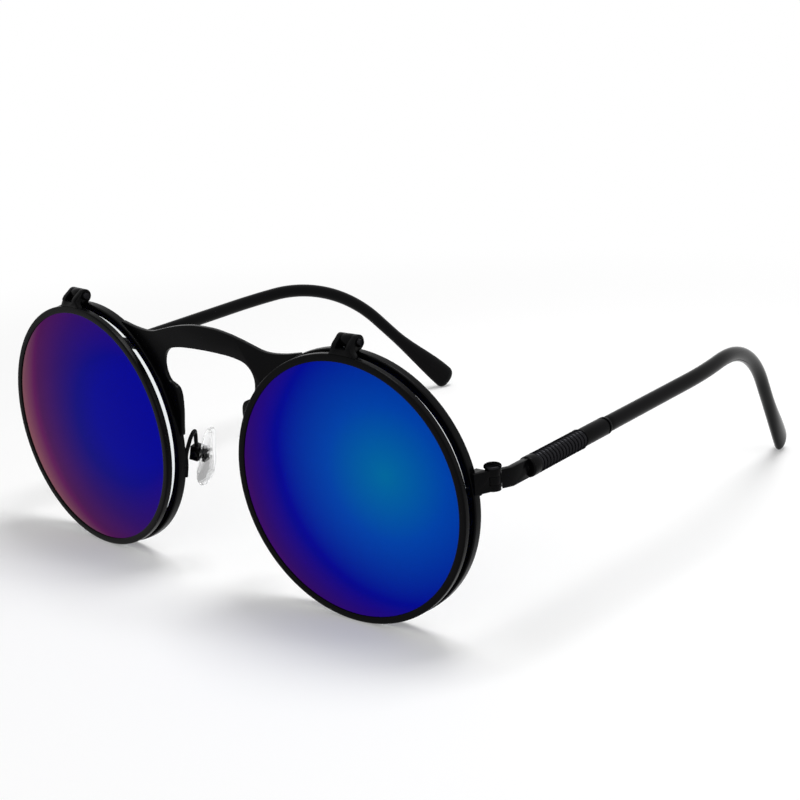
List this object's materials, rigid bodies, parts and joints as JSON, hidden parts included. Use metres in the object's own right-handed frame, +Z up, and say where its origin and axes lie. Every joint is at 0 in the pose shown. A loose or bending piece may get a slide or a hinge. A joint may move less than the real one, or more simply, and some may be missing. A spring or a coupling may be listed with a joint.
{
  "type": "flip up sunglasses",
  "caption": "Round metal sunglasses whose mirrored lenses flip up off clear ones, with a keyhole bridge, nose pads and folding temples with coil sleeves and curved tips.",
  "frame": {"origin": "on the table under the middle of the bounding box, with the rims and both tips standing on the table", "axes": "+X to the wearer's left, +Y from the lenses back along the temples, +Z up"},
  "size_m": [0.1336, 0.1422, 0.0552],
  "materials": {
    "black_frame": "gloss black paint",
    "black_coil": "satin black paint",
    "black_tip": "polished black acetate",
    "clear_lens": "clear polycarbonate",
    "mirror_lens": "blue violet mirror coat on tinted polycarbonate",
    "clear_silicone": "clear silicone",
    "pad_insert": "plain steel",
    "screw": "blackened steel"
  },
  "bodies": {
    "front": {"base_rim_l": "black_frame", "base_rim_r": "black_frame", "bridge": "black_frame", "rear_lens_l": "clear_lens", "rear_lens_r": "clear_lens", "endpiece_l": "black_frame", "endpiece_r": "black_frame", "rim_lock_l": "black_frame", "rim_lock_r": "black_frame", "rim_lock_screw_l": "screw", "rim_lock_screw_r": "screw", "nose_pad_arm_l": "black_frame", "nose_pad_arm_r": "black_frame", "nose_pad_screw_l": "screw", "nose_pad_screw_r": "screw", "flip_base_lug_l": "black_frame", "flip_base_lug_r": "black_frame", "flip_hinge_pin_l": "screw", "flip_hinge_pin_r": "screw", "hinge_screw_l": "screw", "hinge_screw_r": "screw"},
    "flip_left": {"flip_rim_l": "black_frame", "flip_lens_l": "mirror_lens", "flip_bracket_l": "black_frame"},
    "temple_left": {"temple_arm_l": "black_frame", "temple_collar_l": "black_frame", "temple_coil_l": "black_coil", "temple_ferrule_l": "black_frame", "temple_tip_l": "black_tip"},
    "nose_pad_left": {"nose_pad_l": "clear_silicone", "nose_pad_insert_l": "pad_insert"},
    "flip_right": {"flip_rim_r": "black_frame", "flip_lens_r": "mirror_lens", "flip_bracket_r": "black_frame"},
    "temple_right": {"temple_arm_r": "black_frame", "temple_collar_r": "black_frame", "temple_coil_r": "black_coil", "temple_ferrule_r": "black_frame", "temple_tip_r": "black_tip"},
    "nose_pad_right": {"nose_pad_r": "clear_silicone", "nose_pad_insert_r": "pad_insert"}
  },
  "joints": [
    {"name": "flip_left", "type": "hinge", "parent": "front", "child": "flip_left", "pos_m": [0.03719, -0.06732, 0.05378], "axis": [-0.9976, -0.0697, -0.0037], "range_deg": [0, 90]},
    {"name": "flip_right", "type": "hinge", "parent": "front", "child": "flip_right", "pos_m": [-0.03719, -0.06732, 0.05378], "axis": [-0.9976, 0.0697, 0.0037], "range_deg": [0, 90]},
    {"name": "temple_left_fold", "type": "hinge", "parent": "front", "child": "temple_left", "pos_m": [0.063, -0.0603, 0.03107], "axis": [0, -0.0523, 0.9986], "range_deg": [0, 84]},
    {"name": "temple_right_fold", "type": "hinge", "parent": "front", "child": "temple_right", "pos_m": [-0.063, -0.0603, 0.03107], "axis": [0, 0.0523, -0.9986], "range_deg": [0, 72]},
    {"name": "nose_pad_left_rock", "type": "hinge", "parent": "front", "child": "nose_pad_left", "pos_m": [0.01131, -0.06145, 0.02297], "axis": [0.342, 0.9384, 0.0492], "range_deg": [-8, 8]},
    {"name": "nose_pad_right_rock", "type": "hinge", "parent": "front", "child": "nose_pad_right", "pos_m": [-0.01131, -0.06145, 0.02297], "axis": [0.342, -0.9384, -0.0492], "range_deg": [-8, 8]}
  ]
}
